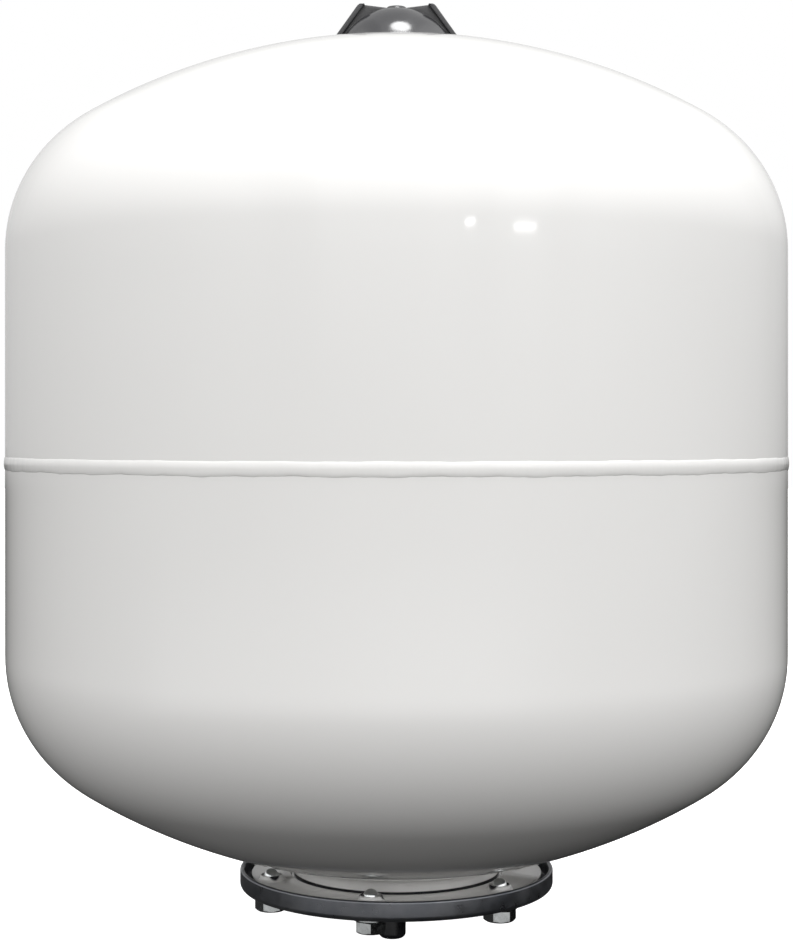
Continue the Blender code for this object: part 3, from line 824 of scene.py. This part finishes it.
def valve_stem(material):
    bottom = low("valve_stem")[2]
    top = high("valve_stem")[2]
    hex_bottom = 0.4193
    hex_top = hex_bottom + 0.0030
    flat = STEM_FLATS / 2
    thread = 0.0050
    stem = 0.00385
    passage = 0.0015
    core_bore = 0.0026
    core_seat = 0.4190
    outline = (
        [(passage, bottom), (thread - 0.0006, bottom)]
        + rows(thread, bottom + 0.0005, hex_bottom - 0.0004, 40)
        + [(thread - 0.0004, hex_bottom), (flat * 0.96, hex_bottom), (flat, hex_bottom + 0.0002)]
        + rows(flat, hex_top - 0.0009, hex_top, 6)
        + [(STEM_FLATS * CHAMFER_SHARE - 0.0001, hex_top)]
        + [(stem - 0.0002, hex_top), (stem - 0.0002, hex_top + 0.0008)]
        + rows(stem, hex_top + 0.001, top - 0.0004, 60)
        + [(stem - 0.0004, top), (core_bore, top), (core_bore, core_seat), (passage, core_seat)]
    )
    lower = threaded(thread, STEM_PITCH, 0.0005, bottom, hex_bottom)
    upper = threaded(stem, VALVE_PITCH, 0.0004, hex_top + 0.001, top)
    faces = hexagon(STEM_FLATS, chamfer_from=hex_top, chamfer_up=False)
    obj = lathe("threaded_valve_stem", outline, 72, both(faces, both(lower, upper)))
    place(obj, "vessel", "brass", material, "valve_stem")


def valve_core(material, seal_material, wire_material):
    bottom = low("valve_core")[2]
    top = high("valve_core")[2]
    barrel = 0.0023
    spring_room = 0.00175
    pin_hole = 0.0009
    spring_seat = 0.4215
    outline = rounded([
        (pin_hole, bottom, 0.0001),
        (barrel, bottom, 0.0002),
        (barrel, top, 0.0002),
        (spring_room, top, 0.0002),
        (spring_room, spring_seat, 0.0001),
        (pin_hole, spring_seat, 0.0001),
    ])
    place(lathe("turned_valve_core", outline, 48), "vessel", "brass", material, "valve_core")
    seal_bottom = low("valve_core_seal")[2]
    seal_top = high("valve_core_seal")[2]
    seal = rounded([
        (0.0012, seal_bottom, 0.0001),
        (0.0020, seal_bottom, 0.0002),
        (barrel, seal_top, 0.0002),
        (0.0012, seal_top, 0.0001),
    ])
    place(lathe("moulded_core_seal", seal, 48), "vessel", "rubber", seal_material, "valve_core_seal")
    pin_bottom = low("valve_pin")[2]
    pin_top = high("valve_pin")[2]
    poppet_top = pin_bottom + 0.0015
    shank = 0.0006
    collar = 0.0014
    collar_bottom = 0.4277
    collar_top = collar_bottom + 0.0006
    pin = [(0, pin_bottom)] + rounded([
        (0.0011, pin_bottom, 0.0002),
        (0.0012, poppet_top, 0.0002),
        (shank, poppet_top),
        (shank, collar_bottom),
        (collar, collar_bottom, 0.0001),
        (collar, collar_top, 0.0001),
        (shank, collar_top),
        (shank, pin_top, 0.0002),
    ]) + [(0, pin_top)]
    place(lathe("turned_valve_pin", pin, 32), "pin", "brass", material, "valve_pin")
    spring = coil("wound_valve_spring")
    place(spring, "vessel", "spring_steel", wire_material, "valve_spring")
    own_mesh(spring)


def coil(name):
    """A helix of round wire, swept ring by ring, where the CAD spring lies."""
    wire = 0.0002
    coil_radius = radius_of("valve_spring") - wire
    bottom = low("valve_spring")[2] + wire
    top = high("valve_spring")[2] - wire
    count = SPRING_TURNS * 36
    sides = 10
    work = bmesh.new()
    rings = []
    for index in range(count + 1):
        angle = 2 * math.pi * SPRING_TURNS * index / count
        outward = Vector((math.cos(angle), math.sin(angle), 0))
        centre = outward * coil_radius + Vector((0, 0, bottom + (top - bottom) * index / count))
        ring = []
        for side in range(sides):
            turn = 2 * math.pi * side / sides
            offset = outward * math.cos(turn) + Vector((0, 0, math.sin(turn)))
            ring.append(work.verts.new(centre + offset * wire))
        rings.append(ring)
    for here, there in zip(rings, rings[1:]):
        for side in range(sides):
            after = (side + 1) % sides
            work.faces.new((here[side], here[after], there[after], there[side]))
    work.faces.new(rings[0][::-1])
    work.faces.new(rings[-1])
    bmesh.ops.recalc_face_normals(work, faces=work.faces)
    return finished_mesh(name, work)


def dust_cap(material, seal_material):
    bottom = low("dust_cap")[2]
    top = high("dust_cap")[2]
    radius = radius_of("dust_cap") - 0.0002
    inside = 0.00415
    ceiling = top - 0.0011
    outline = (
        [(0, ceiling)]
        + rounded([
            (0.001, ceiling),
            (inside, ceiling, 0.0003),
            (inside, bottom, 0.0002),
            (radius, bottom, 0.0003),
            (radius, bottom + 0.0006),
        ])
        + rows(radius, bottom + 0.0008, top - 0.0012, 8)
        + rounded([(radius, top - 0.0011), (radius, top, 0.0009), (0.001, top)])
        + [(0, top)]
    )

    def knurl(r, z, angle):
        if abs(r - radius) < 1e-7 and bottom + 0.0007 < z < top - 0.00115:
            r += 0.0002 * abs(math.sin(15 * angle))
        return r, z

    place(lathe("ribbed_dust_cap", outline, 180, knurl), "dust_cap", "black_plastic", material, "dust_cap")
    seal_bottom = low("dust_cap_seal")[2]
    seal_top = high("dust_cap_seal")[2]
    seal_radius = radius_of("dust_cap_seal")
    seal = [(0, seal_bottom)] + rounded([
        (seal_radius, seal_bottom, 0.0001),
        (seal_radius, seal_top, 0.0001),
    ]) + [(0, seal_top)]
    place(lathe("cut_dust_cap_seal", seal, 48), "dust_seal", "rubber", seal_material, "dust_cap_seal")


# ---------------------------------------------------------------- protective cap

DOME_WALL = 0.0018
SKIRT_INSIDE = 0.0143
SKIRT_WALL = 0.0020
BUTTON_RADIUS = 0.0046
WING_FOOT_X = radius_of("protective_cap")
WING_SHOULDER = (0.0184, 0.4407)
WEB_TOP = (0.0163, 0.4413)
HORN_TOP = high("protective_cap")[2]
WING_INNER_Z = 0.4397
RAIL_WIDTH = 0.0027
WEB_THICKNESS = 0.0028
RAIL_THICKNESS = 0.0070


def dome_angle(radius, sphere):
    return math.degrees(math.acos(radius / sphere))


def base_angle(sphere, base):
    return math.degrees(math.asin((base - DOME_CENTRE_Z) / sphere))


def protective_cap(material):
    base = low("protective_cap")[2]
    inner = DOME_RADIUS - DOME_WALL
    skirt_outside = SKIRT_INSIDE + SKIRT_WALL
    skirt_bottom = 0.4262
    button_top = 0.4403
    ceiling = arc(0, DOME_CENTRE_Z, inner, 90, dome_angle(SKIRT_INSIDE, inner), 12)
    wall_inner = arc(
        0, DOME_CENTRE_Z, inner, dome_angle(skirt_outside, inner), base_angle(inner, base), 12
    )
    outer = arc(
        0,
        DOME_CENTRE_Z,
        DOME_RADIUS,
        base_angle(DOME_RADIUS, base) + 0.6,
        dome_angle(BUTTON_RADIUS + 0.0003, DOME_RADIUS),
        40,
    )
    base_r = outer[0][0]
    outline = (
        [(0, ceiling[0][1])]
        + ceiling[1:]
        + [(SKIRT_INSIDE, skirt_bottom), (skirt_outside, skirt_bottom)]
        + wall_inner
        + [(base_r - 0.0003, base)]
        + outer
        + [(BUTTON_RADIUS, button_top - 0.0005), (BUTTON_RADIUS - 0.0002, button_top - 0.00015)]
        + [(BUTTON_RADIUS - 0.0005, button_top), (0, button_top)]
    )
    cap = lathe("winged_protective_cap", outline, 160)
    wings = []
    for side in (1, -1):
        wings += wing(side, base)
    joined(cap, wings)
    place(cap, "cap", "grey_plastic", material, "protective_cap")


def wing(side, base):
    """One grip wing: a thin web out of the dome, and the thick rail along its slanted edge."""
    mid_wall = DOME_RADIUS - DOME_WALL / 2
    web_start = BUTTON_RADIUS - 0.001
    along = arc(
        0,
        DOME_CENTRE_Z,
        mid_wall,
        dome_angle(web_start, mid_wall),
        base_angle(mid_wall, base) + 1,
        14,
    )
    web = along + [
        (WING_FOOT_X - RAIL_WIDTH / 2, along[-1][1]),
        (WING_SHOULDER[0] - RAIL_WIDTH / 2, WING_SHOULDER[1] - 0.0003),
        (WEB_TOP[0] - 0.0008, WEB_TOP[1] - 0.0001),
        (web_start, WING_INNER_Z),
    ]
    rail = rounded([
        (WING_FOOT_X, base),
        (*WING_SHOULDER, 0.0014),
        (WING_SHOULDER[0] - 0.0012, HORN_TOP, 0.0006),
        (WING_SHOULDER[0] - 0.0034, HORN_TOP - 0.0001, 0.0007),
        (WING_FOOT_X - RAIL_WIDTH, base),
    ])
    pieces = []
    for outline, thickness, bevel in ((web, WEB_THICKNESS, 0.0004), (rail, RAIL_THICKNESS, 0.0005)):
        sided = [(side * x, z) for x, z in outline]
        pieces.append(plate("wing", sided, thickness, bevel))
    return pieces


def cap_seal_ring(material):
    top = high("cap_seal_ring")[2]
    outside = radius_of("cap_seal_ring")
    inside = outside - 0.0024

    def head_z(r):
        return UPPER_APEX_Z - UPPER_CROWN + math.sqrt(UPPER_CROWN**2 - r**2) + 0.0001

    outline = rounded([
        (inside, head_z(inside), 0.0001),
        (outside, head_z(outside), 0.0002),
        (outside, top, 0.0002),
        (inside, top, 0.0001),
    ])
    place(lathe("moulded_cap_seal_ring", outline, 160), "cap_seal", "rubber", material, "cap_seal_ring")


# ---------------------------------------------------------------- studio

CAMERA_DISTANCE = 0.924
CAMERA_HEIGHT = 0.2394
LENS_MM = 74.4
SHIFT_Y = -0.043
FLOOR_Z = -0.016


def add_camera():
    data = bpy.data.cameras.new("camera")
    data.lens = LENS_MM
    data.sensor_width = 36
    data.shift_y = SHIFT_Y
    data.clip_start = 0.01
    camera = bpy.data.objects.new("camera", data)
    camera.location = (0, -CAMERA_DISTANCE, CAMERA_HEIGHT)
    camera.rotation_euler = (math.radians(90), 0, 0)
    bpy.context.scene.collection.objects.link(camera)
    bpy.context.scene.camera = camera


def add_floor():
    """A pale floor a little below the vessel, which hangs on its pipe connection."""
    work = bmesh.new()
    bmesh.ops.create_circle(work, cap_ends=True, segments=96, radius=8.0)
    bmesh.ops.translate(work, verts=work.verts, vec=(0, 0, FLOOR_Z))
    floor = finished_mesh("floor", work)
    material = bpy.data.materials.new("pale_floor")
    material.use_nodes = True
    shader = material.node_tree.nodes["Principled BSDF"]
    shader.inputs["Base Color"].default_value = (0.9, 0.9, 0.9, 1)
    shader.inputs["Roughness"].default_value = 0.8
    shader.inputs["Emission Color"].default_value = (1, 1, 1, 1)
    shader.inputs["Emission Strength"].default_value = 0.82
    floor.data.materials.append(material)
    floor.visible_diffuse = False
    floor.visible_glossy = False


def area_light(name, place, target, width, height, power, shape="RECTANGLE"):
    data = bpy.data.lights.new(name, "AREA")
    data.shape = shape
    data.size = width
    data.size_y = height
    data.energy = power
    light = bpy.data.objects.new(name, data)
    light.location = place
    light.rotation_euler = (Vector(target) - Vector(place)).to_track_quat("-Z", "Y").to_euler()
    light.visible_camera = False
    bpy.context.scene.collection.objects.link(light)
    return light


def add_lights():
    centre = (0, 0, 0.23)
    # A soft box above and a little in front of the vessel, which leaves the highlight on the cap.
    area_light("overhead", (0.11, -0.27, 1.55), (0, 0, 0.42), 0.56, 0.50, 7, "ELLIPSE")
    # Two distant tubes that leave the two glints near the top of the front.
    area_light("tube_left", (1.05, -2.98, 0.705), centre, 0.15, 0.012, 0.17)
    area_light("tube_right", (1.78, -2.61, 0.685), centre, 0.34, 0.012, 0.34)


def ramp(tree, share, stops):
    """Brightness along one axis of a direction. Stops are (part of the direction, brightness) pairs.

    share is that part of the direction brought to 0..1. Upwards, it is the sine of the elevation.
    """
    brightest = max(value for _, value in stops)
    node = tree.nodes.new("ShaderNodeValToRGB")
    elements = node.color_ramp.elements
    while len(elements) < len(stops):
        elements.new(0.5)
    for element, (part, value) in zip(elements, stops):
        element.position = (part + 1) / 2
        element.color = (value / brightest, value / brightest, value / brightest, 1)
    tree.links.new(share, node.inputs["Fac"])
    scaled = tree.nodes.new("ShaderNodeVectorMath")
    scaled.operation = "SCALE"
    scaled.inputs["Scale"].default_value = brightest
    tree.links.new(node.outputs["Color"], scaled.inputs[0])
    return scaled.outputs["Vector"]


def blend_of(tree, factor, first, second):
    node = tree.nodes.new("ShaderNodeMix")
    node.data_type = "RGBA"
    tree.links.new(factor, node.inputs["Factor"])
    tree.links.new(first, node.inputs[6])
    tree.links.new(second, node.inputs[7])
    return node.outputs[2]


def combined(tree, operation, first, second):
    """The sum or the product of two brightnesses."""
    node = tree.nodes.new("ShaderNodeVectorMath")
    node.operation = operation
    tree.links.new(first, node.inputs[0])
    tree.links.new(second, node.inputs[1])
    return node.outputs["Vector"]


def spread(tree, value, start, end, smooth=False):
    """0 where value is at start and 1 where it is at end."""
    node = tree.nodes.new("ShaderNodeMapRange")
    node.interpolation_type = "SMOOTHSTEP" if smooth else "LINEAR"
    node.inputs["From Min"].default_value = start
    node.inputs["From Max"].default_value = end
    tree.links.new(value, node.inputs["Value"])
    return node.outputs["Result"]


# Stops of (sine of elevation, brightness) for the three sides of the room.
FRONT = ((-1, 0.0), (-0.02, 0.0), (0.03, 0.42), (0.12, 1.4), (0.35, 2.15), (0.7, 2.3), (1, 1.5))
BACK_LEFT = ((-1, 0.08), (-0.25, 0.05), (-0.03, 0.03), (-0.01, 0.5), (0.15, 0.65), (0.4, 0.4), (1, 0.2))
BACK_RIGHT = ((-1, 0.02), (-0.03, 0.0), (-0.01, 0.3), (0.15, 0.6), (0.4, 0.5), (1, 0.2))
# The lit strip of ground in front: its brightness against the sine of elevation, and against left to right.
STRIP_HEIGHT = ((-1, 0), (-0.40, 0), (-0.29, 0.55), (-0.14, 0.55), (-0.06, 0), (1, 0))
STRIP_SIDES = ((-1, 0), (-0.97, 0), (-0.90, 0.9), (-0.5, 0.9), (0.0, 1.2), (0.45, 1), (0.75, 0), (1, 0))
# Faint upright bands in the room's front wall.
BANDS = (
    (-1, 1.1), (-0.66, 1.0), (-0.54, 0.7), (-0.38, 0.7), (-0.34, 1.0),
    (0.1, 1.0), (0.2, 1.15), (0.42, 1.0), (0.5, 1.35), (0.64, 1.35), (0.7, 1.0), (0.82, 1.25), (1, 1.0),
)


def add_world():
    """White to the camera. To the vessel, a studio lit from above and in front, dark below the horizon."""
    world = bpy.data.worlds.new("studio")
    bpy.context.scene.world = world
    world.use_nodes = True
    tree = world.node_tree
    links = tree.links
    background = tree.nodes["Background"]
    direction = tree.nodes.new("ShaderNodeTexCoord").outputs["Generated"]
    parts = tree.nodes.new("ShaderNodeSeparateXYZ")
    links.new(direction, parts.inputs["Vector"])
    height = spread(tree, parts.outputs["Z"], -1, 1)
    rightness = spread(tree, parts.outputs["X"], -0.35, 0.35, smooth=True)
    backness = spread(tree, parts.outputs["Y"], -1, 1)
    back = blend_of(tree, rightness, ramp(tree, height, BACK_LEFT), ramp(tree, height, BACK_RIGHT))
    across = spread(tree, parts.outputs["X"], -1, 1)
    front = combined(tree, "MULTIPLY", ramp(tree, height, FRONT), ramp(tree, across, BANDS))
    room = blend_of(tree, backness, front, back)
    strip = combined(tree, "MULTIPLY", ramp(tree, height, STRIP_HEIGHT), ramp(tree, across, STRIP_SIDES))
    ahead = spread(tree, parts.outputs["Y"], 0.0, -0.2, smooth=True)
    strip = combined(tree, "MULTIPLY", strip, ahead)
    room = combined(tree, "ADD", room, strip)
    seen = tree.nodes.new("ShaderNodeMix")
    seen.data_type = "RGBA"
    links.new(tree.nodes.new("ShaderNodeLightPath").outputs["Is Camera Ray"], seen.inputs["Factor"])
    links.new(room, seen.inputs[6])
    seen.inputs[7].default_value = (1, 1, 1, 1)
    links.new(seen.outputs[2], background.inputs["Color"])


# ---------------------------------------------------------------- build

enamel = white_enamel("white_enamel")
# Circles of painted shade on the neck paint: the shadowed groove at the joint, and the collars, darkened
# for dark metal nuts in shadow.
joint = (NECK_RADIUS + 0.0004, RING_TOP_Z - 0.0002, 0.0011)
collars = (middle("flange_bolt_1").xy.length, RING_TOP_Z + 0.0030, 0.0029)
neck_enamel_with_painted_shade = white_enamel("neck_enamel_with_painted_shade", (joint, collars))
dark_steel = flange_steel()
zinc = zinc_plate()
yellow_brass = brass()
wire = spring_wire()
black_rubber = rubber()
plug_plastic = black_plastic()
cap_plastic = grey_plastic()

add_camera()
upper_head(enamel)
lower_head(neck_enamel_with_painted_shade)
seam_weld(enamel)
neck_ring(neck_enamel_with_painted_shade)
counter_flange(dark_steel)
flange_screws(zinc)
flange_washers(zinc)
membrane(black_rubber)
pipe_nipple(dark_steel)
transport_plug(plug_plastic)
valve_boss(zinc)
valve_stem(yellow_brass)
valve_core(yellow_brass, black_rubber, wire)
dust_cap(plug_plastic, black_rubber)
protective_cap(cap_plastic)
cap_seal_ring(black_rubber)
add_floor()
add_lights()
add_world()
bpy.context.scene.view_settings.view_transform = "Standard"
